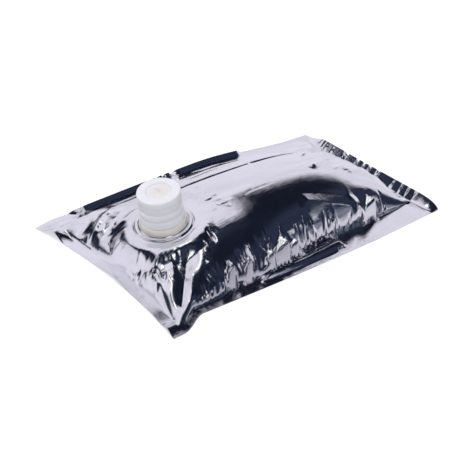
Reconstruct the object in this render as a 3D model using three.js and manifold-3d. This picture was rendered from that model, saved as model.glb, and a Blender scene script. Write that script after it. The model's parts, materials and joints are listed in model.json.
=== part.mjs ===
// A filled liner bag for a bag-in-box carton: a metallised film pillow, heat sealed on its four
// edges and lying on its side, with a moulded spout welded under the film near one end and a
// push-on cap. Millimetres, +Z up, X along the bag from the spout end, the floor at Z = 0.
import * as THREE from "three";
import { mergeVertices } from "three/addons/utils/BufferGeometryUtils.js";
import Module from "manifold-3d";

const wasm = await Module();
wasm.setup();

// Bag film, laid flat
const BAG_LENGTH = 374;
const BAG_WIDTH = 190;
const END_SEAL = 12; // heat seal across each short end
const SIDE_SEAL = 6; // heat seal along each long side
const SEAL_THICKNESS = 0.8;
const CELLS_ALONG = 76;
const CELLS_ACROSS = 40;

// Filled shape. Places are shares of the half length or half width unless they are in mm.
const CREST_HEIGHT = 51; // highest line of the top film above the floor
const CREST_SIDE = -0.17; // the crest line lies towards the near side
const NEAR_CONTACT = { spoutEnd: -0.97, farEnd: -0.78, from: -0.55, to: 0.3 }; // foot of the near flank
const FAR_SEAM_RISE = 17; // the bulge carries the far seam up, most towards the spout
const FAR_END_RISE = 8; // the end seal away from the spout turns up
const SPOUT_END_RIPPLE = 3;
const SIDE_DRAW = 11; // filling draws the long edges in, most beside the spout
const SPOUT_END_DRAW = 10;
const FAR_END_DRAW = 4;
const EAR_LENGTH = 34; // corner ears that filling leaves undrawn
const ROLL_WIDTH = 26; // the underside rolls down to the floor within this width
const ROLL_RINGS = 4;

// Spout, measured up its own axis from the film on its flange
const SPOUT_FROM_END = 67;
const SPOUT_HEIGHT = 37; // height of the film on the flange
const SPOUT_LEAN = 15; // degrees from upright
const SPOUT_LEAN_HEADING = 164; // degrees round Z from +X
const BORE_RADIUS = 12.7;
const NECK_RADIUS = 16.4;
const SNAP_BEAD = 0.5;
const SPOUT_HEIGHT_ABOVE_FILM = 31;
const COLLAR_RADIUS = 20.5;
const COLLAR_HEIGHT = 5.5;
const FLANGE_RADIUS = 25;
const FLANGE_THICKNESS = 1.8;
const FILM_OVER_FLANGE = 0.8;
const WELD_STEP = 2.4; // the welded film stands this far above the film round it
const TAUT_RADIUS = 28; // the flange holds the film flat out to here
const SLACK_RADIUS = 40; // and from here on the film lies free
const CLEARANCE = 0.3;

// Cap
const CAP_HEIGHT = 28.4;
const CAP_FOOT_RADIUS = 19.9;
const CAP_BRIM_RADIUS = 19.1;
const CAP_BRIM_DEPTH = 6.4;
const CAP_WAIST_RADIUS = 18.5;
const CAP_TOP_THICKNESS = 2.5;
const CAP_EDGE_ROUND = 1.1;
const CAP_STEPS = 3; // stepped bands between the waist and the foot
const CAP_DISH_RADIUS = 10.2;
const CAP_DISH_DEPTH = 0.9;
const CAP_PLUG_DEPTH = 9;
const CAP_PLUG_WALL = 1.8;
const GATE_RADIUS = 0.9;
const TURN_SEGMENTS = 48;

// Creases pressed into the top film: two ends in plan, as shares of the half length and half
// width, then the rise at the ridge and its half width. A negative rise is a valley.
const CREASES = [
  { from: [-0.41, 0.5], to: [0.73, 0.55], rise: 2, half: 7 }, // long pleat beside the far seam
  { from: [-0.97, 0.21], to: [-0.7, 0.59], rise: 4.5, half: 12 }, // shoulder from the spout to the end seal
  { from: [-0.92, 0.74], to: [-0.73, 0.55], rise: -3, half: 12 },
  { from: [-0.78, -0.84], to: [-0.67, -0.47], rise: 4.5, half: 11 }, // ear fold at the near corner
  { from: [-0.64, -0.8], to: [-0.56, -0.42], rise: -3, half: 12 },
  { from: [0.05, -0.5], to: [0.53, -0.72], rise: 3, half: 10 }, // shoulder of the bulge
  { from: [0.47, -0.8], to: [0.4, -0.56], rise: 2, half: 8 },
  { from: [0.68, -0.8], to: [0.56, -0.62], rise: -2.5, half: 10 },
  { from: [0.32, -0.04], to: [0.8, 0.06], rise: 2, half: 7 }, // end gathers
  { from: [0.45, 0.15], to: [0.84, 0.27], rise: -2, half: 8 },
  { from: [0.51, -0.27], to: [0.83, -0.36], rise: 1.8, half: 8 },
  { from: [0.6, 0.63], to: [0.88, 0.76], rise: -2.4, half: 9 },
];

const halfLength = BAG_LENGTH / 2;
const halfWidth = BAG_WIDTH / 2;
const innerLength = halfLength - END_SEAL;
const innerWidth = halfWidth - SIDE_SEAL;
const clamp = THREE.MathUtils.clamp;
const smoothstep = THREE.MathUtils.smoothstep;

// The spout's frame: its origin on the film over the flange, its axis leaning out of upright.
const lean = THREE.MathUtils.degToRad(SPOUT_LEAN);
const heading = THREE.MathUtils.degToRad(SPOUT_LEAN_HEADING);
const spoutAxis = new THREE.Vector3(
  Math.sin(lean) * Math.cos(heading),
  Math.sin(lean) * Math.sin(heading),
  Math.cos(lean),
);
const spoutSeat = new THREE.Vector3(-halfLength + SPOUT_FROM_END, 0, SPOUT_HEIGHT);
const spoutTurn = new THREE.Quaternion().setFromUnitVectors(new THREE.Vector3(0, 0, 1), spoutAxis);

// Flat film coordinates along the bag: the seal edges and evenly spaced stops between.
function stopsAlong() {
  const cells = CELLS_ALONG - 2;
  const inner = Array.from({ length: cells + 1 }, (_, i) => innerLength * ((2 * i) / cells - 1));
  return [-halfLength, ...inner, halfLength];
}

// Where the near flank meets the floor, as a share of the half width inside the seals.
function nearContact(u) {
  const { spoutEnd, farEnd, from, to } = NEAR_CONTACT;
  return THREE.MathUtils.lerp(spoutEnd, farEnd, smoothstep(u, from, to));
}

// Coordinates across the bag at one place along it: seal edges, the foot of the near flank and
// stops that crowd towards that foot.
function stopsAcross(p) {
  const cells = CELLS_ACROSS - 3;
  const foot = innerWidth * nearContact(p / halfLength);
  const free = Array.from({ length: cells + 1 }, (_, j) => {
    const share = j / cells;
    return foot + (innerWidth - foot) * share * (0.65 + 0.35 * share);
  });
  return [-halfWidth, -innerWidth, ...free, halfWidth];
}

// Where a point of the flat film lies in plan once the bag is filled.
function planOf(p, q) {
  const v = q / halfWidth;
  const endDraw = p < 0 ? SPOUT_END_DRAW : FAR_END_DRAW;
  const beyondEar = smoothstep(halfLength - Math.abs(p), EAR_LENGTH / 3, EAR_LENGTH * 1.3);
  const towardsSpout = Math.pow(clamp((0.53 * halfLength - p) / (1.3 * halfLength), 0, 1), 1.5);
  return [
    p * (1 - (endDraw * (1 - v * v)) / halfLength),
    q * (1 - (SIDE_DRAW * beyondEar * towardsSpout) / halfWidth),
  ];
}

// Height of the seam surface that the two films share: near seam down, far seam carried up.
function seamHeight(p, q) {
  const [u, v] = [p / halfLength, q / halfWidth];
  const farAlong = smoothstep(u, -1, -0.74) * (1 - smoothstep(u, 0, 0.92));
  const far = FAR_SEAM_RISE * farAlong * smoothstep(v, -0.1, 0.95);
  const open = 1 - v * v;
  const end =
    u < 0
      ? SPOUT_END_RIPPLE * open * Math.pow(u, 10) * (0.6 + 0.4 * Math.sin(8.5 * v + 1.8))
      : FAR_END_RISE * Math.sqrt(open) * Math.pow(u, 10);
  return SEAL_THICKNESS / 2 + far + end;
}

// Share of the crest's height along the bag, and of the way from seam to crest across it.
function fullnessAlong(a) {
  return a < 0 ? Math.pow(1 - Math.pow(-a, 2.6), 0.68) : Math.pow(1 - Math.pow(a, 3), 0.85);
}
function fullnessAcross(b, contact) {
  if (b <= contact) return 0;
  return b < CREST_SIDE
    ? Math.pow(1 - Math.pow((CREST_SIDE - b) / (CREST_SIDE - contact), 2.1), 0.6)
    : Math.pow(1 - Math.pow((b - CREST_SIDE) / (1 - CREST_SIDE), 1.6), 1.15);
}

// Ridge of one crease at a plan point, tapering to nothing at both ends.
function creaseHeight(x, y, { from, to, rise, half }) {
  const [startX, startY] = [from[0] * halfLength, from[1] * halfWidth];
  const [dx, dy] = [to[0] * halfLength - startX, to[1] * halfWidth - startY];
  const length = Math.hypot(dx, dy);
  const along = ((x - startX) * dx + (y - startY) * dy) / length;
  const off = Math.abs((x - startX) * dy - (y - startY) * dx) / length;
  const taper = smoothstep(along, -half, half) * (1 - smoothstep(along, length - half, length + half));
  return rise * taper * Math.pow(Math.max(0, 1 - off / half), 2);
}

// Small gathers that the seals draw into the film beside them.
function gatherHeight(p, q, a, b) {
  const besideEnd = smoothstep(Math.abs(a), 0.7, 0.93) * (1 - smoothstep(Math.abs(a), 0.95, 1));
  const besideFar = smoothstep(b, 0.5, 0.75) * (1 - smoothstep(b, 0.8, 0.98));
  const end = 1.3 * Math.sin(q / 4.2 + 1.1 * Math.sin(q / 17) + (a < 0 ? 1 : 2.4));
  const side = 1.1 * Math.sin(p / 6 + 1.7 * Math.sin(p / 31) + 1.8);
  return besideEnd * end * (1 - b * b) + besideFar * side * (1 - a * a);
}

// Height of the tilted film that the spout's flange carries.
function spoutFilmHeight(x, y) {
  const drop = (x - spoutSeat.x) * spoutAxis.x + (y - spoutSeat.y) * spoutAxis.y;
  return spoutSeat.z - (drop + WELD_STEP) / spoutAxis.z;
}

function topHeight(p, q) {
  const [x, y] = planOf(p, q);
  const a = clamp(p / innerLength, -1, 1);
  const b = clamp(q / innerWidth, -1, 1);
  const seam = seamHeight(p, q) + SEAL_THICKNESS / 2;
  const full = fullnessAlong(a) * fullnessAcross(b, nearContact(p / halfLength));
  if (full === 0 || Math.abs(b) === 1) return seam;
  const dome = Math.max(0, CREST_HEIGHT - seam) * full;
  const creases = CREASES.reduce((sum, crease) => sum + creaseHeight(x, y, crease), 0);
  const free = seam + dome + smoothstep(dome, 0, 12) * (creases + gatherHeight(p, q, a, b));
  const fromSpout = Math.hypot(x - spoutSeat.x, y - spoutSeat.y);
  const held = 1 - smoothstep(fromSpout, TAUT_RADIUS, SLACK_RADIUS);
  return THREE.MathUtils.lerp(free, spoutFilmHeight(x, y), held);
}

// A closed three.js geometry as a solid, and a solid as a geometry.
function solidOf(geometry) {
  const bare = geometry.clone();
  bare.deleteAttribute("normal");
  bare.deleteAttribute("uv");
  const merged = mergeVertices(bare, 1e-4);
  return new wasm.Manifold(
    new wasm.Mesh({
      numProp: 3,
      vertProperties: merged.attributes.position.array,
      triVerts: new Uint32Array(merged.index.array),
    }),
  );
}
function geometryOf(solid) {
  const { vertProperties, triVerts } = solid.getMesh();
  const geometry = new THREE.BufferGeometry();
  geometry.setAttribute("position", new THREE.BufferAttribute(vertProperties, 3));
  geometry.setIndex(new THREE.BufferAttribute(triVerts, 1));
  geometry.computeVertexNormals();
  return geometry;
}

// A body of revolution about +Z from a closed outline of [radius, height] points.
function turned(outline) {
  const points = outline.map(([radius, height]) => new THREE.Vector2(radius, height));
  const geometry = new THREE.LatheGeometry([...points, points[0]], TURN_SEGMENTS);
  return geometry.rotateX(Math.PI / 2);
}

// Quarter round of an outline from one heading to another, in degrees, as [radius, height] points.
function rounded(centreRadius, centreHeight, round, start, end, steps = 4) {
  return Array.from({ length: steps + 1 }, (_, i) => {
    const angle = THREE.MathUtils.degToRad(start + ((end - start) * i) / steps);
    return [centreRadius + round * Math.cos(angle), centreHeight + round * Math.sin(angle)];
  });
}

function atSpout(geometry) {
  return geometry.applyQuaternion(spoutTurn).translate(spoutSeat.x, spoutSeat.y, spoutSeat.z);
}

// The two films as one closed skin: a grid above, and rings from the rim inwards below, which
// roll down to the flat patch that the bag rests on.
function pillowGeometry() {
  const ps = stopsAlong();
  const qs = ps.map(stopsAcross);
  const positions = [];
  const indices = [];
  ps.forEach((p, i) => qs[i].forEach((q) => positions.push(...planOf(p, q), topHeight(p, q))));
  const at = (i, j) => i * (CELLS_ACROSS + 1) + j;
  const [lastI, lastJ] = [CELLS_ALONG, CELLS_ACROSS];
  for (let i = 0; i < lastI; i++) {
    for (let j = 0; j < lastJ; j++) {
      indices.push(at(i, j), at(i + 1, j), at(i + 1, j + 1), at(i, j), at(i + 1, j + 1), at(i, j + 1));
    }
  }

  // The rim, anticlockwise from above, as grid corners [i, j].
  const rim = [];
  for (let i = 0; i < lastI; i++) rim.push([i, 0]);
  for (let j = 0; j < lastJ; j++) rim.push([lastI, j]);
  for (let i = lastI; i > 0; i--) rim.push([i, lastJ]);
  for (let j = lastJ; j > 0; j--) rim.push([0, j]);

  // A point under the rim, moved in from the bag's ends and sides, on the flat film.
  const inset = ([i, j], fromEnd, fromSide) => [
    ps[i] * (1 - fromEnd / halfLength),
    qs[i][j] * (1 - fromSide / halfWidth),
  ];
  const addRing = (outer, pointOf) => {
    const inner = rim.map((corner) => positions.push(...pointOf(corner)) / 3 - 1);
    outer.forEach((from, k) => {
      const next = (k + 1) % rim.length;
      indices.push(from, inner[next], outer[next], from, inner[k], inner[next]);
    });
    return inner;
  };
  const underSeam = (p, q) => seamHeight(p, q) - SEAL_THICKNESS / 2;
  const onSeal = (corner, fromEnd, fromSide) => {
    const [p, q] = inset(corner, fromEnd, fromSide);
    return [...planOf(p, q), underSeam(p, q)];
  };
  let ring = addRing(rim.map(([i, j]) => at(i, j)), (corner) => onSeal(corner, 0, 0));
  ring = addRing(ring, (corner) => onSeal(corner, END_SEAL, SIDE_SEAL));
  for (let step = 1; step <= ROLL_RINGS; step++) {
    const angle = (Math.PI / 2) * (step / ROLL_RINGS);
    const roll = ROLL_WIDTH * (1 - Math.cos(angle));
    ring = addRing(ring, (corner) => {
      const lift = underSeam(...inset(corner, END_SEAL, SIDE_SEAL));
      return [...planOf(...inset(corner, END_SEAL + roll, SIDE_SEAL + roll)), lift * (1 - Math.sin(angle))];
    });
  }
  const centre = positions.push(0, 0, 0) / 3 - 1;
  ring.forEach((from, k) => indices.push(from, centre, ring[(k + 1) % rim.length]));

  const geometry = new THREE.BufferGeometry();
  geometry.setAttribute("position", new THREE.Float32BufferAttribute(positions, 3));
  geometry.setIndex(indices);
  return geometry;
}

// Heights up the spout's axis that the film, the flange and the pocket share.
const flangeTop = -FILM_OVER_FLANGE - CLEARANCE;
const flangeFoot = flangeTop - FLANGE_THICKNESS;
const pocketFloor = flangeFoot - CLEARANCE;
const weldRadius = FLANGE_RADIUS + CLEARANCE + FILM_OVER_FLANGE;

// The film over the flange is a raised disc, with a rounded rim, on the tilted film.
function weldedFilm() {
  const rim = 1;
  const root = pocketFloor - 4;
  return atSpout(
    turned([[0, root], [weldRadius, root], ...rounded(weldRadius - rim, -rim, rim, 0, 90), [0, 0]]),
  );
}

// Room for the flange under the film, and the hole that the collar comes up through.
function flangePocket() {
  const pocketRadius = FLANGE_RADIUS + CLEARANCE;
  const holeRadius = COLLAR_RADIUS + CLEARANCE;
  return atSpout(
    turned([
      [0, pocketFloor],
      [pocketRadius, pocketFloor],
      [pocketRadius, -FILM_OVER_FLANGE],
      [holeRadius, -FILM_OVER_FLANGE],
      [holeRadius, 2],
      [0, 2],
    ]),
  );
}

function filmBagGeometry() {
  const filled = solidOf(pillowGeometry()).add(solidOf(weldedFilm()));
  return geometryOf(filled.subtract(solidOf(flangePocket())));
}

function spoutGeometry() {
  const lip = 0.8;
  const beadHeight = SPOUT_HEIGHT_ABOVE_FILM - 8;
  const beadRadius = NECK_RADIUS + SNAP_BEAD;
  const top = SPOUT_HEIGHT_ABOVE_FILM;
  return turned([
    [BORE_RADIUS, flangeFoot],
    [FLANGE_RADIUS - 0.6, flangeFoot],
    [FLANGE_RADIUS, flangeFoot + 0.6],
    [FLANGE_RADIUS, flangeTop],
    [COLLAR_RADIUS, flangeTop],
    ...rounded(COLLAR_RADIUS - lip, COLLAR_HEIGHT - lip, lip, 0, 90, 3),
    [NECK_RADIUS, COLLAR_HEIGHT],
    [NECK_RADIUS, beadHeight - 1],
    [beadRadius, beadHeight],
    [beadRadius, beadHeight + 1],
    [NECK_RADIUS, beadHeight + 2.4],
    ...rounded(NECK_RADIUS - lip, top - lip, lip, 0, 90, 3),
    [BORE_RADIUS + 0.6, top],
    [BORE_RADIUS, top - 0.8],
  ]);
}

function capGeometry() {
  const foot = COLLAR_HEIGHT + CLEARANCE;
  const top = foot + CAP_HEIGHT;
  const waist = top - CAP_BRIM_DEPTH;
  const ceiling = SPOUT_HEIGHT_ABOVE_FILM + CLEARANCE;
  const bandHeight = (waist - foot) / CAP_STEPS;
  const bandFlare = (CAP_FOOT_RADIUS - CAP_WAIST_RADIUS) / CAP_STEPS;
  const skirtInner = NECK_RADIUS + SNAP_BEAD + CLEARANCE;
  const plugOuter = BORE_RADIUS - CLEARANCE;
  const plugInner = plugOuter - CAP_PLUG_WALL;
  const plugFoot = ceiling - CAP_PLUG_DEPTH;
  const dishFloor = top - CAP_DISH_DEPTH;
  const steps = [];
  for (let i = 0; i < CAP_STEPS; i++) {
    const radius = CAP_FOOT_RADIUS - i * bandFlare;
    const bottom = foot + i * bandHeight;
    steps.push([radius, bottom + 0.4], [radius - 0.35 * bandFlare, bottom + bandHeight]);
  }
  return turned([
    [0, dishFloor - CAP_TOP_THICKNESS + CAP_DISH_DEPTH],
    [plugInner, dishFloor - CAP_TOP_THICKNESS + CAP_DISH_DEPTH],
    [plugInner, plugFoot],
    [plugOuter - 0.7, plugFoot],
    [plugOuter, plugFoot + 1.4],
    [plugOuter, ceiling],
    [skirtInner, ceiling],
    [skirtInner, foot + 1.5],
    [skirtInner + 0.8, foot],
    [CAP_FOOT_RADIUS - 0.4, foot],
    ...steps,
    [CAP_WAIST_RADIUS, waist],
    ...rounded(CAP_BRIM_RADIUS - 0.5, waist + 0.5, 0.5, -90, 0, 2),
    ...rounded(CAP_BRIM_RADIUS - CAP_EDGE_ROUND, top - CAP_EDGE_ROUND, CAP_EDGE_ROUND, 0, 90),
    [CAP_DISH_RADIUS + 0.8, top],
    [CAP_DISH_RADIUS, dishFloor],
    [GATE_RADIUS, dishFloor],
    [GATE_RADIUS * 0.6, dishFloor + 0.4],
    [0, dishFloor + 0.4],
  ]);
}

function material(colour, roughness, metalness) {
  return new THREE.MeshStandardMaterial({ color: colour, roughness, metalness });
}
const foil = material(0xd9d8e2, 0.12, 1);
const naturalPlastic = material(0xf1ece2, 0.4, 0);
const capPlastic = material(0xf2f2f6, 0.35, 0);

function namedMesh(name, geometry, finish) {
  const mesh = new THREE.Mesh(geometry, finish);
  mesh.name = name;
  return mesh;
}

// The fitment is modelled up its own axis and leaned into place as one group.
const fitment = new THREE.Group();
fitment.add(namedMesh("spout", spoutGeometry(), naturalPlastic));
fitment.add(namedMesh("cap", capGeometry(), capPlastic));
fitment.quaternion.copy(spoutTurn);
fitment.position.copy(spoutSeat);

const bag = new THREE.Group();
bag.add(namedMesh("film_bag", filmBagGeometry(), foil));
bag.add(fitment);

export default bag;
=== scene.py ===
# A filled, metallised liner bag with its spout and push-on cap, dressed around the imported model.
# Metres, +Z up, X along the bag from the spout end, the floor at Z = 0. Sizes in mm end in _MM.
import json
import math

import bpy
import numpy as np
from mathutils import Matrix, Vector


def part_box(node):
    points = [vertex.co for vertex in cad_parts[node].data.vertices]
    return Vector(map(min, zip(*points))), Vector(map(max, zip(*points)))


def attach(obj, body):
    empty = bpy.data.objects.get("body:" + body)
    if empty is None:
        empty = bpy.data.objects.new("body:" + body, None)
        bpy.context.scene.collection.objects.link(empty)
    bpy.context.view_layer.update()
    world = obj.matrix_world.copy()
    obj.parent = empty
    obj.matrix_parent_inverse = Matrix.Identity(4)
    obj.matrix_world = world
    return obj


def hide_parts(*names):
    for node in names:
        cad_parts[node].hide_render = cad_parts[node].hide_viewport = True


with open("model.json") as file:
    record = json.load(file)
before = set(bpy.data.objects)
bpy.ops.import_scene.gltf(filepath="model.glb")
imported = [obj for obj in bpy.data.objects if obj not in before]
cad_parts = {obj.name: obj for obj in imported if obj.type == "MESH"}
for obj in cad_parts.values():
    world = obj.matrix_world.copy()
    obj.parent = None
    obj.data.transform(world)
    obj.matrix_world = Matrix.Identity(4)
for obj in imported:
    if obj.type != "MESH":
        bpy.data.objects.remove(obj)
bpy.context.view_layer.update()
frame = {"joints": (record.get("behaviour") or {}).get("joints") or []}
MM = 0.001

# The two films as a grid of cells, as wide and long as the solid
bag_low, bag_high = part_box("film_bag")
HALF_LENGTH = (bag_high.x - bag_low.x) / 2 / MM
HALF_WIDTH = (bag_high.y - bag_low.y) / 2 / MM
CREST_MM = bag_high.z / MM
END_SEAL_MM = 12
SIDE_SEAL_MM = 6
SEAL_THICKNESS_MM = 0.3  # 0.8 in the solid
CELLS_ALONG = 320
CELLS_ACROSS = 200
SEAL_CELLS = 5
STRIP_CELLS = 10
FOOT_CROWDING = 0.25

# Filled shape. The crest, the draws and the dome's curves are the solid's. The far seam lies up to
# 5 mm lower here and the far end's seam up to 6 mm lower, and both of those seals turn up instead.
# The foot's hollow and the waves at the spout end are the scene's own. Places are shares of a
# half side.
CREST_SIDE = -0.17
CONTACT_AT_SPOUT, CONTACT_FAR = -0.97, -0.78
CONTACT_HOLLOW = (0.06, -0.5, 0.2)  # depth, centre and half width of a hollow in the foot's line
FAR_SEAM_RISE_MM = 12
FAR_END_RISE_MM = 2
FAR_SEAM_CLIMBS, FAR_SEAM_FALLS = (-1, -0.74), (0, 0.92)
SIDE_DRAW_MM = 11
SIDE_DRAW_START, SIDE_DRAW_LENGTH, SIDE_DRAW_POWER = 0.53, 1.3, 1.5
SPOUT_END_DRAW_MM = 10
FAR_END_DRAW_MM = 4
EAR_LENGTH_MM = 34
ROLL_WIDTH_MM = 26
ROLL_RINGS = 6
# Powers of the dome's curves, from the crest to each side: of the share of the way, and of the rest
DOME_TO_SPOUT_END, DOME_TO_FAR_END = (2.6, 0.68), (3, 0.85)
DOME_TO_NEAR_SIDE, DOME_TO_FAR_SIDE = (2.1, 0.6), (1.6, 1.15)

# Seals that turn up, in degrees, and the stretch of the far side that does
FAR_END_TURN = 52
FAR_END_LET_DOWN = 36  # less turn at a pucker of that seal
FAR_END_LEAN = 34  # and how far that differs between puckers
FAR_SIDE_TURN = 48
FAR_SIDE_TURNED = (-0.84, 0.42)
# Ripples that place the puckers of both: pitch in mm, drift of its phase, and the drift's pitch
FAR_END_RIPPLE = (2, 2.4, 9)
FAR_SIDE_RIPPLE = (2.2, 2, 7)

# Spout, in a frame whose origin is on the film over the flange
SPOUT_AXIS = Vector(frame["joints"][0]["axis"]).normalized()
SPOUT_FROM_END_MM = 67
SPOUT_HEIGHT_MM = 37
SPOUT_SEAT = Vector((-HALF_LENGTH + SPOUT_FROM_END_MM, 0, SPOUT_HEIGHT_MM))
BORE_RADIUS_MM = 12.7
NECK_RADIUS_MM = 16.4
SPOUT_TOP_MM = 31
COLLAR_RADIUS_MM = 20.5
COLLAR_HEIGHT_MM = 5.5
FLANGE_RADIUS_MM = 25
FLANGE_FOOT_MM = -2.9
FLANGE_TOP_MM = -1.1
FILM_OVER_FLANGE_MM = 0.8
POCKET_FLOOR_MM = -3.2
WELD_STEP_MM = 2.4
# Radii between which the film leaves the weld's plane, 28 and 40 in the solid
TAUT_RADIUS_MM = 32
SLACK_RADIUS_MM = 46
GAP_MM = 0.3

# Section of the film round the spout, as ring of film cells, radius and height up its axis: the
# pocket's floor, out round the flange, back to the hole's edge and over the welded disc.
WELD_SECTION = [
    (0, 0, POCKET_FLOOR_MM),
    (7, FLANGE_RADIUS_MM + GAP_MM, POCKET_FLOOR_MM),
    (8, FLANGE_RADIUS_MM + GAP_MM, -FILM_OVER_FLANGE_MM),
    (9, COLLAR_RADIUS_MM + GAP_MM, -FILM_OVER_FLANGE_MM),
    (10, COLLAR_RADIUS_MM + GAP_MM, -0.1),
    (11, COLLAR_RADIUS_MM + 0.6, 0.15),
    (12, COLLAR_RADIUS_MM + 1.2, 0.2),
    (14, COLLAR_RADIUS_MM + 2, -0.5),
    (16, FLANGE_RADIUS_MM - 1.4, 0),
    (18, FLANGE_RADIUS_MM + 0.4, 0),
    (20, FLANGE_RADIUS_MM + 1.1, -0.5),
    (21, FLANGE_RADIUS_MM + 1.4, -1.2),
    (22, FLANGE_RADIUS_MM + 1.6, -2),
    (24, FLANGE_RADIUS_MM + 3, -WELD_STEP_MM),
]
BLEND_RINGS = 8
WELD_CELL_MM = 1.15

# Cap
CAP_HEIGHT_MM = 28.4
CAP_FOOT_RADIUS_MM = 19.9
CAP_BRIM_RADIUS_MM = 19.1
CAP_BRIM_DEPTH_MM = 6.4
CAP_WAIST_RADIUS_MM = 18.5
CAP_STEPS = 3
CAP_DISH_RADIUS_MM = 10.2
CAP_DISH_DEPTH_MM = 0.9
TURN_SEGMENTS = 128
SHARP_ANGLE = 55  # degrees, from which an edge is shaded sharp

# Waves of the seal at the spout end: place across the bag, half width as such a share, rise in mm
SPOUT_END_WAVES = [(0.78, 0.17, 7), (-0.02, 0.3, 4), (-0.62, 0.2, 1.5), (-0.88, 0.12, 3)]

# Creases pressed into the top film, in shares of the half length and half width: start, end, rise
# at the ridge and half width in mm, and the power of its slope. 1 is a straight fold, and less than
# 1 is a round roll.
CREASES = [
    ((-0.89, 0.45), (-0.65, 0.70), 8.5, 12, 1.2),
    ((-0.96, 0.78), (-0.66, 0.66), -8, 17, 1.5),
    ((-0.94, -0.77), (-0.77, -0.24), 3, 16, 1.5),
    ((-0.87, -0.81), (-0.65, -0.38), -4, 12, 1.5),
    ((-0.88, -0.95), (-0.70, -0.55), 2.4, 9, 1.4),
    ((-0.93, -0.55), (-0.78, -0.2), 2.2, 10, 1.3),
    ((-0.94, -0.1), (-0.84, 0.06), -2, 9, 1.3),
    ((0.05, -0.5), (0.53, -0.72), 3, 9, 1.2),
    ((0.47, -0.8), (0.4, -0.56), 2.5, 8, 1.2),
    ((0.68, -0.8), (0.56, -0.62), -3.5, 10, 1.5),
    ((0.3, -0.16), (0.74, -0.05), 2.4, 7, 1.2),
    ((0.36, 0.04), (0.8, 0.1), -3, 8, 1.3),
    ((0.45, 0.2), (0.84, 0.27), 2.4, 7, 1.2),
    ((0.51, -0.3), (0.83, -0.4), 1.8, 8, 1.3),
    ((0.6, 0.63), (0.9, 0.78), -2.6, 9, 1.4),
]
# The long pleat on the far slope: a narrow fold that deepens away from the spout
LONG_PLEAT = ((-0.42, 0.5), (0.7, 0.45), -2.4, 2.8, 1)
LONG_PLEAT_DEEP = ((0.2, 0.472), (0.7, 0.45), -2.2, 4.2, 1)
PLEAT_COLUMN = 0.79  # share of the free cells across, from the near foot, that ends at the pleat
PLEAT_PULL = 24  # cells to each side that bend with it
# The near flank folds over into a smooth roll at its foot
FOOT_ROLL = ((-0.36, -0.86), (0.24, -0.83), 5, 6.5, 0.5)

# Three-sided puckers where the near flank buckles above its foot: upper point (x, y, z), depth
# towards the foot, and reach of the base to the spout's side and to the other, all in mm
PUCKERS = [
    ((-35, -63, 29), 10, 12, 3),
    ((-53, -68, 23), 6, 6, 2),
    ((-19, -66, 22), 6, 6, 3),
    ((-99, -63, 26), 7, 4, 1),
    ((-79, -66, 24), 5, 3, 1),
    ((101, -55, 26), 11, 8, 5),
    ((-117, -53, 28), 5, 4, 1),
    ((44, -60, 22), 5, 3, 1),
    ((70, -58, 22), 4, 3, 1),
]
# Every facet slopes like this along X and Y, so that it mirrors the overhead panel to the camera
PUCKER_SLOPES = (0.49, 0.34)
PUCKER_SIDE_SLOPE = 2.2
PUCKER_BASE_SLOPE = 3.5

# Small creases scattered by place: count, centre and spread in shares of the half sides, heading
# and its scatter in degrees (None is away from the spout), then ranges of length, rise and half width.
CRUMPLES = [
    (60, (-0.68, -0.1), (0.18, 0.4), None, 22, (8, 22), (0.5, 1.5), (1.8, 3.2)),
    (50, (-0.82, 0.05), (0.1, 0.55), 20, 30, (6, 16), (0.4, 1.2), (1.6, 3)),
    (26, (-0.42, 0.05), (0.14, 0.3), None, 16, (10, 24), (0.4, 1.2), (1.8, 3.2)),
    (22, (-0.7, -0.82), (0.08, 0.08), 80, 30, (8, 20), (0.6, 1.8), (2, 4)),
    (30, (0.68, 0.08), (0.2, 0.42), 4, 7, (22, 60), (0.3, 0.9), (1.6, 3)),
    (14, (0.66, -0.05), (0.16, 0.3), 2, 8, (35, 65), (1.0, 2.0), (3, 5)),
    (70, (0.0, -0.74), (0.7, 0.07), 90, 22, (8, 20), (0.6, 2.0), (2.2, 4.5)),
    (50, (0.22, -0.78), (0.3, 0.04), 90, 8, (5, 11), (0.4, 0.9), (1.4, 2.4)),
    (26, (0.1, 0.78), (0.8, 0.1), 2, 8, (25, 70), (0.15, 0.45), (2, 5)),
    (30, (-0.1, 0.1), (0.6, 0.35), 8, 14, (20, 60), (0.06, 0.22), (2, 6)),
]
CRUMPLE_SEED = 11
CRUMPLE_POWER = 1.2
CRUMPLE_ENDS = 0.3  # share of its length over which a small crease fades at each end
# Height above the seam over which creases reach their full rise
CREASE_FADE_MM = 12
CRUMPLE_FADE_MM = 4

# Camera, from the four corners of the bag in the photograph
CAMERA_PLACE_MM = Vector((-626.9, -506.4, 487.8))
CAMERA_RIGHT = Vector((0.70073, -0.69791, 0.14799))
CAMERA_FORWARD = Vector((0.64965, 0.53848, -0.53665))
FOCAL_PX = 962.7
PHOTO_SIDE_PX = 475
SENSOR_MM = 36

# Natural plastic: the spout's tone, the cap's, and a warmer tint on the thin middle of the cap's top,
# which is painted light: it stands in for light showing through the thin plastic there
SPOUT_COLOUR = (0.88, 0.83, 0.77)
CAP_COLOUR = (0.83, 0.82, 0.86)
CAP_MIDDLE_LIGHT_TINT = (0.83, 0.78, 0.765)

# Tone of the studio's pale panels, as the film reflects them
LAVENDER = (0.78, 0.76, 0.86)
WHITE = (1, 1, 1)
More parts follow.
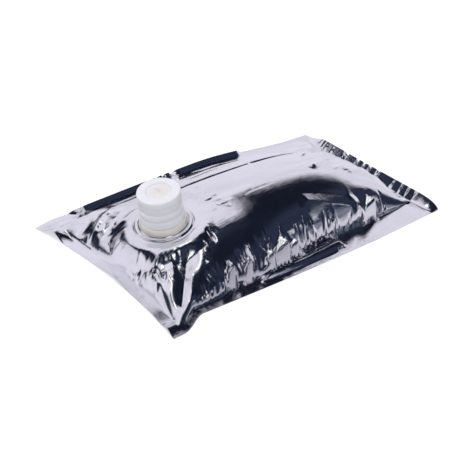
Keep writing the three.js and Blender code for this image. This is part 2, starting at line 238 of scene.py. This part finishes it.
# Panels that show only in reflections: name, heading and elevation in degrees, distance, width and
# height in metres, colour and strength
PANELS = [
    ("far_backdrop", 38, 16, 2.2, 4.3, 1.7, LAVENDER, 1.0),
    ("left_softbox", 92, 58, 2.0, 2.6, 2.1, LAVENDER, 1.0),
    ("left_backdrop", 150, 9, 2.0, 2.0, 1.1, LAVENDER, 1.0),
    ("overhead", 0, 90, 1.9, 0.45, 0.45, WHITE, 1.5),
    ("camera_side", 228, 50, 1.9, 0.6, 0.5, WHITE, 1.5),
    ("behind_camera", 238, 20, 2.4, 4.4, 1.2, LAVENDER, 0.85),
    ("near_strip", 322, 15, 2.0, 0.3, 0.12, (0.85, 0.9, 1), 0.9),
    ("near_glow", 318, 4, 2.0, 1.0, 0.22, (0.6, 0.65, 0.85), 0.35),
]
# Lamps that don't show in reflections: name, heading and elevation in degrees, distance and size
# in metres, and power
LAMPS = [
    ("key", 120, 60, 1.6, 1.2, 9),
    ("fill", 250, 50, 1.8, 1.4, 4),
]
FLOOR_SIDE = 12
FLOOR_HEIGHT = -0.0002
# Heading in degrees along which the floor goes from dark to pale in reflections
FLOOR_HEADING = 60
FLOOR_DARK = (0.05, 0.06, 0.1)
ROOM_LIGHT = (0.62, 0.63, 0.66)
ROOM_DARK = (0.006, 0.008, 0.018)
ROOM_DIM = (0.035, 0.045, 0.085)


def grey(value):
    return (value, value, value)


def smoothstep(x, low, high):
    t = np.clip((x - low) / (high - low), 0, 1)
    return t * t * (3 - 2 * t)


def plan_of(p, q):
    """Where a point of the flat film lies in plan once the bag is filled."""
    v = q / HALF_WIDTH
    end_draw = np.where(p < 0, SPOUT_END_DRAW_MM, FAR_END_DRAW_MM)
    beyond_ear = smoothstep(HALF_LENGTH - np.abs(p), EAR_LENGTH_MM / 3, EAR_LENGTH_MM * 1.3)
    way = (SIDE_DRAW_START * HALF_LENGTH - p) / (SIDE_DRAW_LENGTH * HALF_LENGTH)
    towards_spout = np.clip(way, 0, 1) ** SIDE_DRAW_POWER
    x = p * (1 - end_draw * (1 - v * v) / HALF_LENGTH)
    y = q * (1 - SIDE_DRAW_MM * beyond_ear * towards_spout / HALF_WIDTH)
    return x, y


def bump(x, centre, half):
    """A smooth hump from 0 to 1 and back."""
    return smoothstep(half - np.abs(x - centre), 0, half)


def ripple(x, pitch, drift, drift_pitch):
    """A wave whose phase drifts."""
    return np.sin(x / pitch + drift * np.sin(x / drift_pitch))


def seam_height(p, q):
    """Height of the seam surface that the two films share."""
    u, v = p / HALF_LENGTH, q / HALF_WIDTH
    far_along = smoothstep(u, *FAR_SEAM_CLIMBS) * (1 - smoothstep(u, *FAR_SEAM_FALLS))
    far = FAR_SEAM_RISE_MM * far_along * smoothstep(v, -0.1, 0.95)
    waves = sum(rise * bump(v, centre, half) for centre, half, rise in SPOUT_END_WAVES)
    spread = np.clip(1 - v * v, 0, 1)
    end = np.where(u < 0, waves * u**6, FAR_END_RISE_MM * np.sqrt(spread) * u**10)
    return SEAL_THICKNESS_MM / 2 + far + end


def turn_seals(p, q, x, y, z):
    """Turns up the seals of the far end and of the far side, with small puckers across them."""
    u, v = p / HALF_LENGTH, q / HALF_WIDTH
    over_end = np.clip(p - (HALF_LENGTH - END_SEAL_MM), 0, None)
    pucker = np.maximum(0, ripple(q, *FAR_END_RIPPLE)) ** 5 * bump(v, 0.1, 0.95)
    lean = smoothstep(over_end, 0, END_SEAL_MM) * FAR_END_LEAN * np.sin(q / 13 + 1)
    end_turn = (FAR_END_TURN - (FAR_END_LET_DOWN + lean) * pucker) * (1 - smoothstep(v, 0.6, 0.95))
    end_turn = np.radians(end_turn * (1 - v**8))
    over_side = np.clip(q - (HALF_WIDTH - SIDE_SEAL_MM), 0, None)
    start, stop = FAR_SIDE_TURNED
    turned_part = smoothstep(u, start, start + 0.05) * (1 - smoothstep(u, stop - 0.06, stop))
    unpuckered = 1 - 1.2 * np.clip(ripple(p, *FAR_SIDE_RIPPLE), 0, 1) * bump(u, -0.2, 0.16)
    side_turn = np.radians(FAR_SIDE_TURN * turned_part * unpuckered)
    x = x - over_end * (1 - np.cos(end_turn))
    y = y - over_side * (1 - np.cos(side_turn))
    return x, y, z + over_end * np.sin(end_turn) + over_side * np.sin(side_turn)


def dome_curve(share, powers):
    """Height as a share of the crest's, at a share of the way from the crest to a seam."""
    return (1 - share ** powers[0]) ** powers[1]


def fullness_along(a):
    """Height along the bag as a share of the crest's."""
    to_spout_end = dome_curve(np.clip(-a, 0, 1), DOME_TO_SPOUT_END)
    to_far_end = dome_curve(np.clip(a, 0, 1), DOME_TO_FAR_END)
    return np.where(a < 0, to_spout_end, to_far_end)


def fullness_across(b, contact):
    """Height across the bag as a share of the crest's, from the near foot to the far seam."""
    near_share = np.clip((CREST_SIDE - b) / (CREST_SIDE - contact), 0, 1)
    far_share = np.clip((b - CREST_SIDE) / (1 - CREST_SIDE), 0, 1)
    to_near = dome_curve(near_share, DOME_TO_NEAR_SIDE)
    to_far = dome_curve(far_share, DOME_TO_FAR_SIDE)
    return np.where(b < CREST_SIDE, to_near, to_far)


def fold(x, y, start, end, rise, half, power, ends=0):
    """One fold between two points in mm, tapering to nothing at both ends.

    It tapers over its half width, or over a share of its length where that is more.
    """
    dx, dy = end[0] - start[0], end[1] - start[1]
    length = math.hypot(dx, dy)
    along = ((x - start[0]) * dx + (y - start[1]) * dy) / length
    off = np.abs((x - start[0]) * dy - (y - start[1]) * dx) / length
    reach = max(min(half, length / 2), ends * length)
    begun = smoothstep(along, -reach / 2, reach)
    taper = begun * (1 - smoothstep(along, length - reach, length + reach / 2))
    if power < 1:
        return rise * taper * np.sqrt(np.clip(1 - (off / half) ** 2, 0, 1))
    return rise * taper * np.clip(1 - off / half, 0, 1) ** power


def crease_height(x, y, crease):
    """Height of a fold whose ends are given in shares of the half sides."""
    start, end, rise, half, power = crease
    start = (start[0] * HALF_LENGTH, start[1] * HALF_WIDTH)
    end = (end[0] * HALF_LENGTH, end[1] * HALF_WIDTH)
    return fold(x, y, start, end, rise, half, power)


def pucker_shelf(x, y, pucker):
    """Height of a flat facet below a point of the flank, falling away steeply past its sides."""
    point, depth, left, right = pucker
    down = (point[1] - y) / depth
    facet = point[2] + PUCKER_SLOPES[0] * (x - point[0]) + PUCKER_SLOPES[1] * (y - point[1])
    past_left = np.clip(point[0] - left * down - x, 0, None)
    past_right = np.clip(x - point[0] - right * down, 0, None)
    past_base = np.clip(down - 1, 0, None) * depth
    past_sides = past_left + past_right
    shelf = facet - PUCKER_SIDE_SLOPE * past_sides - PUCKER_BASE_SLOPE * past_base
    return np.where(down > 0, shelf, 0)


def crumple_height(x, y):
    """Scattered small creases, the same ones each run."""
    draw = np.random.default_rng(CRUMPLE_SEED)
    total = np.zeros_like(x)
    for count, centre, spread, heading, scatter, lengths, rises, halves in CRUMPLES:
        for _ in range(count):
            at_x = HALF_LENGTH * (centre[0] + spread[0] * draw.uniform(-1, 1))
            at_y = HALF_WIDTH * (centre[1] + spread[1] * draw.uniform(-1, 1))
            away = math.degrees(math.atan2(at_y - SPOUT_SEAT.y, at_x - SPOUT_SEAT.x))
            angle = math.radians((away if heading is None else heading) + scatter * draw.normal())
            length, rise, half = (draw.uniform(*limits) for limits in (lengths, rises, halves))
            rise *= draw.choice((-1, 1))
            step = (length / 2 * math.cos(angle), length / 2 * math.sin(angle))
            near = np.hypot(x - at_x, y - at_y) < length
            start, end = (at_x - step[0], at_y - step[1]), (at_x + step[0], at_y + step[1])
            total[near] += fold(x[near], y[near], start, end, rise, half, CRUMPLE_POWER, CRUMPLE_ENDS)
    return total


def spout_film_height(x, y):
    """Height of the flat film that the weld holds square to the spout's axis."""
    drop = (x - SPOUT_SEAT.x) * SPOUT_AXIS.x + (y - SPOUT_SEAT.y) * SPOUT_AXIS.y
    return SPOUT_SEAT.z - (drop + WELD_STEP_MM) / SPOUT_AXIS.z


def near_contact(u):
    """Place across of the near flank's foot, as a share of the half side."""
    straight = CONTACT_AT_SPOUT + (CONTACT_FAR - CONTACT_AT_SPOUT) * smoothstep(u, -0.55, 0.3)
    depth, centre, half = CONTACT_HOLLOW
    return straight + depth * bump(u, centre, half)


def top_height(p, q):
    """Height of the upper film: the seam, the dome with its folds, and the disc held at the spout."""
    x, y = plan_of(p, q)
    a = np.clip(p / (HALF_LENGTH - END_SEAL_MM), -1, 1)
    b = np.clip(q / (HALF_WIDTH - SIDE_SEAL_MM), -1, 1)
    seam = seam_height(p, q) + SEAL_THICKNESS_MM / 2
    full = fullness_along(a) * fullness_across(b, near_contact(p / HALF_LENGTH))
    dome = np.maximum(0, CREST_MM - seam) * full
    creases = sum(crease_height(x, y, crease) for crease in CREASES)
    pleats = crease_height(x, y, LONG_PLEAT) + crease_height(x, y, LONG_PLEAT_DEEP)
    crumples = crumple_height(x, y) * smoothstep(dome, 0, CRUMPLE_FADE_MM)
    free = seam + dome + smoothstep(dome, 0, CREASE_FADE_MM) * creases + pleats + crumples
    free += np.where(b > -1, crease_height(x, y, FOOT_ROLL), 0) * smoothstep(b, -1, -0.97)
    for pucker in PUCKERS:
        free = np.maximum(free, np.where(b > -0.95, pucker_shelf(x, y, pucker), 0))
    from_spout = np.hypot(x - SPOUT_SEAT.x, y - SPOUT_SEAT.y)
    held = 1 - smoothstep(from_spout, TAUT_RADIUS_MM, SLACK_RADIUS_MM)
    return free + (spout_film_height(x, y) - free) * held


def stops_along():
    """Stops from the spout end's edge to the far one, with a few in each seal."""
    inner = HALF_LENGTH - END_SEAL_MM
    seal = np.linspace(inner, HALF_LENGTH, SEAL_CELLS + 1)[1:]
    free = np.linspace(-inner, inner, CELLS_ALONG - 2 * SEAL_CELLS + 1)
    return np.concatenate([-seal[::-1], free, seal])


def pleat_stop(p):
    """Place across the flat film of the line that the long pleat follows."""
    (start_u, start_v), (end_u, end_v) = LONG_PLEAT[:2]
    share = np.clip((p / HALF_LENGTH - start_u) / (end_u - start_u), 0, 1)
    drawn_in = plan_of(p, 1.0)[1]
    return (start_v + (end_v - start_v) * share) * HALF_WIDTH / drawn_in


def stops_across(p):
    """Stops from the near edge to the far one, crowding towards the foot of the near flank."""
    inner = HALF_WIDTH - SIDE_SEAL_MM
    seal = np.linspace(inner, HALF_WIDTH, SEAL_CELLS + 1)[1:]
    foot = inner * near_contact(p / HALF_LENGTH)
    share = np.linspace(0, 1, CELLS_ACROSS - 2 * SEAL_CELLS - STRIP_CELLS + 1)
    free = foot + (inner - foot) * share * (1 - FOOT_CROWDING + FOOT_CROWDING * share)
    strip = np.linspace(-inner, foot, STRIP_CELLS + 1)[:-1]
    column = int(PLEAT_COLUMN * len(free))
    shift = pleat_stop(p) - free[column]
    free = free + shift * (1 - smoothstep(np.abs(np.arange(len(free)) - column), 0, PLEAT_PULL))
    return np.concatenate([-seal[::-1], strip, free, seal])


def new_object(name, vertices, faces, smooth=True):
    mesh = bpy.data.meshes.new(name)
    mesh.from_pydata([tuple(v) for v in vertices], [], faces)
    mesh.update()
    if smooth:
        mesh.shade_smooth()
        mesh.set_sharp_from_angle(angle=math.radians(SHARP_ANGLE))
    obj = bpy.data.objects.new(name, mesh)
    bpy.context.scene.collection.objects.link(obj)
    return obj


def spout_frame_matrix():
    """From the spout's own frame in mm to the bag's."""
    turn = Vector((0, 0, 1)).rotation_difference(SPOUT_AXIS)
    return Matrix.Translation(SPOUT_SEAT) @ turn.to_matrix().to_4x4()


def film_skin():
    """The two films as one closed skin with fine cells."""
    ps = stops_along()
    qs = np.array([stops_across(p) for p in ps])
    rows, columns = qs.shape
    p = np.repeat(ps[:, None], columns, axis=1)
    x, y = plan_of(p, qs)
    z = top_height(p, qs)
    x, y, z = turn_seals(p, qs, x, y, z)
    top = np.stack([x, y, z], axis=-1)

    centre_i = int(np.argmin(np.abs(x[:, columns // 2] - SPOUT_SEAT.x)))
    centre_j = int(np.argmin(np.abs(y[centre_i] - SPOUT_SEAT.y)))
    to_spout = spout_frame_matrix()
    rings, radii, heights = np.array(WELD_SECTION).T
    reach = int(rings[-1]) + BLEND_RINGS
    for i in range(centre_i - reach, centre_i + reach + 1):
        for j in range(centre_j - reach, centre_j + reach + 1):
            di, dj = i - centre_i, j - centre_j
            ring = max(abs(di), abs(dj))
            angle = math.atan2(dj, di)
            radius = np.interp(ring, rings, radii) + WELD_CELL_MM * max(0, ring - rings[-1])
            height = np.interp(ring, rings, heights)
            local = Vector((radius * math.cos(angle), radius * math.sin(angle), height))
            exact = np.array(to_spout @ local)
            share = smoothstep(ring, rings[-1], reach)
            top[i, j] = exact + (top[i, j] - exact) * share

    vertices = list(top.reshape(-1, 3))

    def at(i, j):
        return i * columns + j

    faces = [
        (at(i, j), at(i + 1, j), at(i + 1, j + 1), at(i, j + 1))
        for i in range(rows - 1)
        for j in range(columns - 1)
    ]
    rim = [(i, 0) for i in range(rows - 1)]
    rim += [(rows - 1, j) for j in range(columns - 1)]
    rim += [(i, columns - 1) for i in range(rows - 1, 0, -1)]
    rim += [(0, j) for j in range(columns - 1, 0, -1)]

    def under(i, j, from_end, from_side):
        inset_p = ps[i] * (1 - from_end / HALF_LENGTH)
        inset_q = qs[i, j] * (1 - from_side / HALF_WIDTH)
        return inset_p, inset_q

    outer = [at(i, j) for i, j in rim]
    insets = [(0, 0, 1), (END_SEAL_MM, SIDE_SEAL_MM, 1)]
    for step in range(1, ROLL_RINGS + 1):
        angle = math.pi / 2 * step / ROLL_RINGS
        roll = ROLL_WIDTH_MM * (1 - math.cos(angle))
        insets.append((END_SEAL_MM + roll, SIDE_SEAL_MM + roll, 1 - math.sin(angle)))
    for from_end, from_side, share in insets:
        ring = []
        for i, j in rim:
            p_at, q_at = under(i, j, from_end, from_side)
            p_seam, q_seam = under(i, j, min(from_end, END_SEAL_MM), min(from_side, SIDE_SEAL_MM))
            lift = seam_height(p_seam, q_seam) - SEAL_THICKNESS_MM / 2
            plan_x, plan_y = plan_of(p_at, q_at)
            ring.append(len(vertices))
            vertices.append(turn_seals(p_at, q_at, plan_x, plan_y, lift * share))
        for k, start in enumerate(outer):
            after = (k + 1) % len(rim)
            faces.append((start, ring[k], ring[after], outer[after]))
        outer = ring
    faces.append(tuple(outer))
    return new_object("film_skin", np.array(vertices) * MM, faces)


def rounded(centre_radius, centre_height, round_mm, start, end, steps=6):
    """Points of a round, from one heading to another in degrees."""
    angles = np.radians(np.linspace(start, end, steps + 1))
    return [
        (centre_radius + round_mm * math.cos(angle), centre_height + round_mm * math.sin(angle))
        for angle in angles
    ]


def turned(name, outline):
    """A body of revolution about the spout's axis from [radius, height] points."""
    to_spout = spout_frame_matrix()
    count = len(outline)
    vertices = []
    for s in range(TURN_SEGMENTS):
        angle = 2 * math.pi * s / TURN_SEGMENTS
        for radius, height in outline:
            point = Vector((radius * math.cos(angle), radius * math.sin(angle), height))
            vertices.append(to_spout @ point * MM)
    faces = []
    for s in range(TURN_SEGMENTS):
        here, there = s * count, (s + 1) % TURN_SEGMENTS * count
        for k in range(count):
            after = (k + 1) % count
            faces.append((here + k, there + k, there + after, here + after))
    obj = new_object(name, vertices, faces)
    merge = obj.modifiers.new("merge", "WELD")
    merge.merge_threshold = 0.02 * MM
    apply_modifiers(obj)
    return obj


def apply_modifiers(obj):
    graph = bpy.context.evaluated_depsgraph_get()
    mesh = bpy.data.meshes.new_from_object(obj.evaluated_get(graph))
    obj.modifiers.clear()
    obj.data = mesh


def spout_piece():
    """Flange, collar, neck with its snap bead, and an open bore."""
    top = SPOUT_TOP_MM
    bead = top - 8
    lip = 0.8
    outline = [
        (BORE_RADIUS_MM, FLANGE_FOOT_MM),
        (FLANGE_RADIUS_MM - 0.6, FLANGE_FOOT_MM),
        (FLANGE_RADIUS_MM, FLANGE_FOOT_MM + 0.6),
        (FLANGE_RADIUS_MM, FLANGE_TOP_MM),
        (COLLAR_RADIUS_MM, FLANGE_TOP_MM),
        (COLLAR_RADIUS_MM, FLANGE_TOP_MM + 0.5),
        *rounded(COLLAR_RADIUS_MM - lip, COLLAR_HEIGHT_MM - lip, lip, 0, 90),
        (NECK_RADIUS_MM + 0.4, COLLAR_HEIGHT_MM),
        (NECK_RADIUS_MM, COLLAR_HEIGHT_MM + 0.3),
        (NECK_RADIUS_MM, bead - 1),
        (NECK_RADIUS_MM + 0.5, bead),
        (NECK_RADIUS_MM + 0.5, bead + 1),
        (NECK_RADIUS_MM, bead + 2.4),
        *rounded(NECK_RADIUS_MM - lip, top - lip, lip, 0, 90),
        (BORE_RADIUS_MM + 0.6, top),
        (BORE_RADIUS_MM, top - 0.8),
    ]
    return turned("spout_moulding", outline)


def cap_piece():
    """Stepped skirt, brim, dish with its gate mark, and the plug inside."""
    foot = COLLAR_HEIGHT_MM + GAP_MM
    top = foot + CAP_HEIGHT_MM
    waist = top - CAP_BRIM_DEPTH_MM
    ceiling = SPOUT_TOP_MM + GAP_MM
    band = (waist - foot) / CAP_STEPS
    flare = (CAP_FOOT_RADIUS_MM - CAP_WAIST_RADIUS_MM) / CAP_STEPS
    skirt_inner = NECK_RADIUS_MM + 0.5 + GAP_MM
    plug_outer = BORE_RADIUS_MM - GAP_MM
    plug_inner = plug_outer - 1.8
    plug_foot = ceiling - 9
    dish = top - CAP_DISH_DEPTH_MM
    under_dish = dish - 1.6
    steps = []
    for i in range(CAP_STEPS):
        radius = CAP_FOOT_RADIUS_MM - i * flare
        bottom = foot + i * band
        if i:
            steps.append((radius - 0.14, bottom + 0.1))
        steps += [(radius, bottom + 0.5), (radius - 0.35 * flare, bottom + band - 0.3)]
    outline = [
        (0, under_dish),
        (plug_inner, under_dish),
        (plug_inner, plug_foot),
        (plug_outer - 0.7, plug_foot),
        (plug_outer, plug_foot + 1.4),
        (plug_outer, ceiling),
        (skirt_inner, ceiling),
        (skirt_inner, foot + 1.5),
        (skirt_inner + 0.8, foot),
        *rounded(CAP_FOOT_RADIUS_MM - 0.4, foot + 0.4, 0.4, -90, 0, 3),
        *steps,
        (CAP_WAIST_RADIUS_MM, waist - 0.2),
        *rounded(CAP_BRIM_RADIUS_MM - 0.5, waist + 0.5, 0.5, -60, 0, 4),
        *rounded(CAP_BRIM_RADIUS_MM - 1.1, top - 1.1, 1.1, 0, 90, 8),
        *rounded(CAP_DISH_RADIUS_MM + 1.6, top - 0.5, 0.5, 90, 150, 3),
        *rounded(CAP_DISH_RADIUS_MM + 0.2, dish + 0.35, 0.35, -40, -90, 3),
        (0.9, dish),
        (0.6, dish + 0.35),
        (0, dish + 0.4),
    ]
    return turned("cap_moulding", outline)


class Shader:
    """A node material with short calls for the nodes that this scene uses."""

    def __init__(self, name):
        self.material = bpy.data.materials.new(name)
        self.material.use_nodes = True
        self.nodes = self.material.node_tree.nodes
        self.links = self.material.node_tree.links
        self.surface = self.nodes["Principled BSDF"]
        self.place = self.nodes.new("ShaderNodeTexCoord").outputs["Object"]

    def set(self, **values):
        for key, value in values.items():
            self.surface.inputs[key.replace("_", " ")].default_value = value

    def link(self, output, socket):
        self.links.new(output, self.surface.inputs[socket])

    def mapped(self, scale, rotation=(0, 0, 0)):
        node = self.nodes.new("ShaderNodeMapping")
        node.inputs["Scale"].default_value = scale
        node.inputs["Rotation"].default_value = rotation
        self.links.new(self.place, node.inputs["Vector"])
        return node.outputs["Vector"]

    def noise(self, scale, detail, rough=0.5, vector=None):
        node = self.nodes.new("ShaderNodeTexNoise")
        node.inputs["Scale"].default_value = scale
        node.inputs["Detail"].default_value = detail
        node.inputs["Roughness"].default_value = rough
        self.links.new(vector or self.place, node.inputs["Vector"])
        return node.outputs["Fac"]

    def ramp(self, value, stops):
        node = self.nodes.new("ShaderNodeValToRGB")
        while len(node.color_ramp.elements) < len(stops):
            node.color_ramp.elements.new(0.5)
        for element, (position, colour) in zip(node.color_ramp.elements, stops):
            element.position = position
            element.color = (*colour, 1)
        self.links.new(value, node.inputs["Fac"])
        return node.outputs["Color"]

    def math(self, operation, first, second):
        node = self.nodes.new("ShaderNodeMath")
        node.operation = operation
        for socket, value in zip(node.inputs, (first, second)):
            if isinstance(value, (int, float)):
                socket.default_value = value
            else:
                self.links.new(value, socket)
        return node.outputs[0]

    def from_axis(self, radius):
        """Distance from the spout's axis, as a share of the radius."""
        turn = SPOUT_AXIS.rotation_difference(Vector((0, 0, 1)))
        node = self.nodes.new("ShaderNodeMapping")
        node.inputs["Rotation"].default_value = turn.to_euler()
        node.inputs["Location"].default_value = turn @ -SPOUT_SEAT * MM
        self.links.new(self.place, node.inputs["Vector"])
        flat = self.nodes.new("ShaderNodeVectorMath")
        flat.operation = "MULTIPLY"
        flat.inputs[1].default_value = (1 / radius, 1 / radius, 0)
        self.links.new(node.outputs["Vector"], flat.inputs[0])
        length = self.nodes.new("ShaderNodeVectorMath")
        length.operation = "LENGTH"
        self.links.new(flat.outputs["Vector"], length.inputs[0])
        return length.outputs["Value"]

    def bump(self, height, strength, distance, under=None):
        node = self.nodes.new("ShaderNodeBump")
        node.inputs["Strength"].default_value = strength
        node.inputs["Distance"].default_value = distance
        self.links.new(height, node.inputs["Height"])
        if under is not None:
            self.links.new(under, node.inputs["Normal"])
        self.links.new(node.outputs["Normal"], self.surface.inputs["Normal"])
        return node.outputs["Normal"]


def foil_material():
    """Mirror-like film with faint scuffs, and fine streaks and crinkles in its relief."""
    shader = Shader("metallised_film")
    shader.set(Metallic=1.0)
    tone = shader.ramp(shader.noise(30, 3), [(0.3, (0.86, 0.86, 0.89)), (0.7, (0.9, 0.9, 0.92))])
    shader.link(tone, "Base Color")
    scuffs = shader.noise(420, 5, 0.65)
    rough = shader.ramp(scuffs, [(0.35, grey(0.05)), (0.75, grey(0.12))])
    shader.link(rough, "Roughness")
    streaks = shader.noise(1, 4, 0.6, shader.mapped((14, 900, 200)))
    crinkle = shader.noise(70, 3, 0.5)
    under = shader.bump(streaks, 0.6, 0.0002)
    shader.bump(crinkle, 0.4, 0.0003, under)
    return shader.material


def natural_material(name, colour, roughness, middle=None):
    """Natural plastic that lets some light in; a painted warmer tint on the thin middle of the cap's
    top stands in for light showing through it.
    """
    shader = Shader(name)
    shader.set(Subsurface_Weight=0.3, Subsurface_Scale=0.004, Subsurface_Radius=(1, 0.9, 0.85))
    shader.set(Roughness=roughness)
    dark = tuple(c * 0.97 for c in colour)
    tone = shader.ramp(shader.noise(60, 3), [(0.3, dark), (0.7, colour)])
    if middle is not None:
        # Painted light: the dish of the cap's top, save its centre and its rim, takes the warmer tint
        # in place of light showing through the thin plastic
        shares = [(0, 1), (0.06, 1), (0.1, 0), (0.85, 0), (1, 1)]
        stops = [(place, grey(share)) for place, share in shares]
        near_axis = shader.ramp(shader.from_axis(CAP_DISH_RADIUS_MM * MM), stops)
        blend = shader.nodes.new("ShaderNodeMix")
        blend.data_type = "RGBA"
        blend.inputs["A"].default_value = (*middle, 1)
        shader.links.new(near_axis, blend.inputs["Factor"])
        shader.links.new(tone, blend.inputs["B"])
        tone = blend.outputs["Result"]
    shader.link(tone, "Base Color")
    shader.bump(shader.noise(900, 3), 0.1, 0.0001)
    return shader.material


def panel_material(name, colour, strength):
    """A soft, slightly uneven glow."""
    shader = Shader(name)
    low = tuple(c * 0.86 for c in colour)
    high = tuple(c * 1.05 for c in colour)
    shader.set(Base_Color=(0, 0, 0, 1), Specular_IOR_Level=0, Emission_Strength=strength)
    shader.link(shader.ramp(shader.noise(1.6, 2), [(0.35, low), (0.6, high)]), "Emission Color")
    return shader.material


def give(obj, material):
    obj.data.materials.clear()
    obj.data.materials.append(material)


def direction(heading, elevation):
    """Unit vector towards a heading and an elevation in degrees."""
    return Vector((
        math.cos(math.radians(elevation)) * math.cos(math.radians(heading)),
        math.cos(math.radians(elevation)) * math.sin(math.radians(heading)),
        math.sin(math.radians(elevation)),
    ))


def rectangle(name, width, height, z=0):
    x, y = width / 2, height / 2
    corners = [(-x, -y, z), (x, -y, z), (x, y, z), (-x, y, z)]
    return new_object(name, corners, [(0, 1, 2, 3)], smooth=False)


def add_floor():
    """White to the camera, save for the bag's shadow, and dark to lavender in reflections."""
    floor = rectangle("floor", FLOOR_SIDE, FLOOR_SIDE, FLOOR_HEIGHT)
    shader = Shader("pale_floor")
    shader.set(Base_Color=(0.9, 0.9, 0.9, 1), Roughness=0.9, Specular_IOR_Level=0.1)
    rays = shader.nodes.new("ShaderNodeLightPath")
    shader.set(Emission_Color=(1, 1, 1, 1))
    distance = shader.nodes.new("ShaderNodeVectorMath")
    distance.operation = "LENGTH"
    shader.links.new(shader.place, distance.inputs[0])
    share_out = shader.math("MULTIPLY", distance.outputs["Value"], 0.5)
    glow_out = shader.ramp(share_out, [(0.15, grey(0.24)), (0.6, grey(1))])
    glow_seen = shader.math("MULTIPLY", rays.outputs["Is Camera Ray"], glow_out)
    shader.link(glow_seen, "Emission Strength")
    glow = shader.nodes.new("ShaderNodeEmission")
    turned_away = shader.mapped((1, 1, 1), (0, 0, math.radians(-FLOOR_HEADING)))
    split = shader.nodes.new("ShaderNodeSeparateXYZ")
    shader.links.new(turned_away, split.inputs["Vector"])
    along = shader.math("ADD", split.outputs["X"], 0.5)
    tone = shader.ramp(along, [(0.22, FLOOR_DARK), (0.5, LAVENDER)])
    shader.links.new(tone, glow.inputs["Color"])
    mix = shader.nodes.new("ShaderNodeMixShader")
    shader.links.new(rays.outputs["Is Glossy Ray"], mix.inputs["Fac"])
    shader.links.new(shader.surface.outputs["BSDF"], mix.inputs[1])
    shader.links.new(glow.outputs["Emission"], mix.inputs[2])
    output = shader.nodes["Material Output"]
    shader.links.new(mix.outputs["Shader"], output.inputs["Surface"])
    give(floor, shader.material)


def add_panel(name, heading, elevation, distance, width, height, colour, strength):
    """A glowing panel that faces the bag and is seen only in its reflections."""
    towards = direction(heading, elevation)
    panel = rectangle(name, width, height)
    panel.location = towards * distance
    panel.rotation_mode = "QUATERNION"
    panel.rotation_quaternion = (-towards).to_track_quat("Z", "Y")
    give(panel, panel_material(name, colour, strength))
    panel.visible_camera = False
    panel.visible_diffuse = False
    panel.visible_shadow = False


def add_lamp(name, heading, elevation, distance, size, power):
    """A round area lamp that faces the bag."""
    data = bpy.data.lights.new(name, "AREA")
    data.shape = "DISK"
    data.size = size
    data.energy = power
    lamp = bpy.data.objects.new(name, data)
    towards = direction(heading, elevation)
    lamp.location = towards * distance
    lamp.rotation_mode = "QUATERNION"
    lamp.rotation_quaternion = towards.to_track_quat("Z", "Y")
    lamp.visible_glossy = False
    bpy.context.scene.collection.objects.link(lamp)


def add_world():
    """White to the camera, dim and clouded in reflections, and grey light elsewhere."""
    world = bpy.data.worlds.new("studio")
    bpy.context.scene.world = world
    world.use_nodes = True
    nodes, links = world.node_tree.nodes, world.node_tree.links
    background = nodes["Background"]
    rays = nodes.new("ShaderNodeLightPath")
    mix = nodes.new("ShaderNodeMix")
    mix.data_type = "RGBA"
    mix.inputs["A"].default_value = (*ROOM_LIGHT, 1)
    place = nodes.new("ShaderNodeTexCoord")
    clouds = nodes.new("ShaderNodeTexNoise")
    clouds.inputs["Scale"].default_value = 2.2
    clouds.inputs["Detail"].default_value = 3
    links.new(place.outputs["Generated"], clouds.inputs["Vector"])
    tone = nodes.new("ShaderNodeValToRGB")
    tone.color_ramp.elements[0].position = 0.42
    tone.color_ramp.elements[0].color = (*ROOM_DARK, 1)
    tone.color_ramp.elements[1].position = 0.72
    tone.color_ramp.elements[1].color = (*ROOM_DIM, 1)
    links.new(clouds.outputs["Fac"], tone.inputs["Fac"])
    links.new(tone.outputs["Color"], mix.inputs["B"])
    links.new(rays.outputs["Is Glossy Ray"], mix.inputs["Factor"])
    white = nodes.new("ShaderNodeMix")
    white.data_type = "RGBA"
    white.inputs["B"].default_value = (*WHITE, 1)
    links.new(rays.outputs["Is Camera Ray"], white.inputs["Factor"])
    links.new(mix.outputs["Result"], white.inputs["A"])
    links.new(white.outputs["Result"], background.inputs["Color"])


def add_camera():
    data = bpy.data.cameras.new("camera")
    data.sensor_width = SENSOR_MM
    data.lens = FOCAL_PX / PHOTO_SIDE_PX * SENSOR_MM
    camera = bpy.data.objects.new("camera", data)
    right = CAMERA_RIGHT.normalized()
    back = -CAMERA_FORWARD.normalized()
    up = back.cross(right).normalized()
    turn = Matrix((right, up, back)).transposed().to_4x4()
    camera.matrix_world = Matrix.Translation(CAMERA_PLACE_MM * MM) @ turn
    bpy.context.scene.collection.objects.link(camera)
    bpy.context.scene.camera = camera


bpy.context.scene.view_settings.view_transform = "Standard"
add_camera()
add_world()
add_floor()
for panel in PANELS:
    add_panel(*panel)
for lamp in LAMPS:
    add_lamp(*lamp)

skin = film_skin()
give(skin, foil_material())
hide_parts("film_bag")
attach(skin, "bag")

spout = spout_piece()
give(spout, natural_material("spout_plastic", SPOUT_COLOUR, 0.35))
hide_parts("spout")
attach(spout, "bag")

cap = cap_piece()
give(cap, natural_material("cap_plastic", CAP_COLOUR, 0.32, CAP_MIDDLE_LIGHT_TINT))
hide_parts("cap")
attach(cap, "cap")
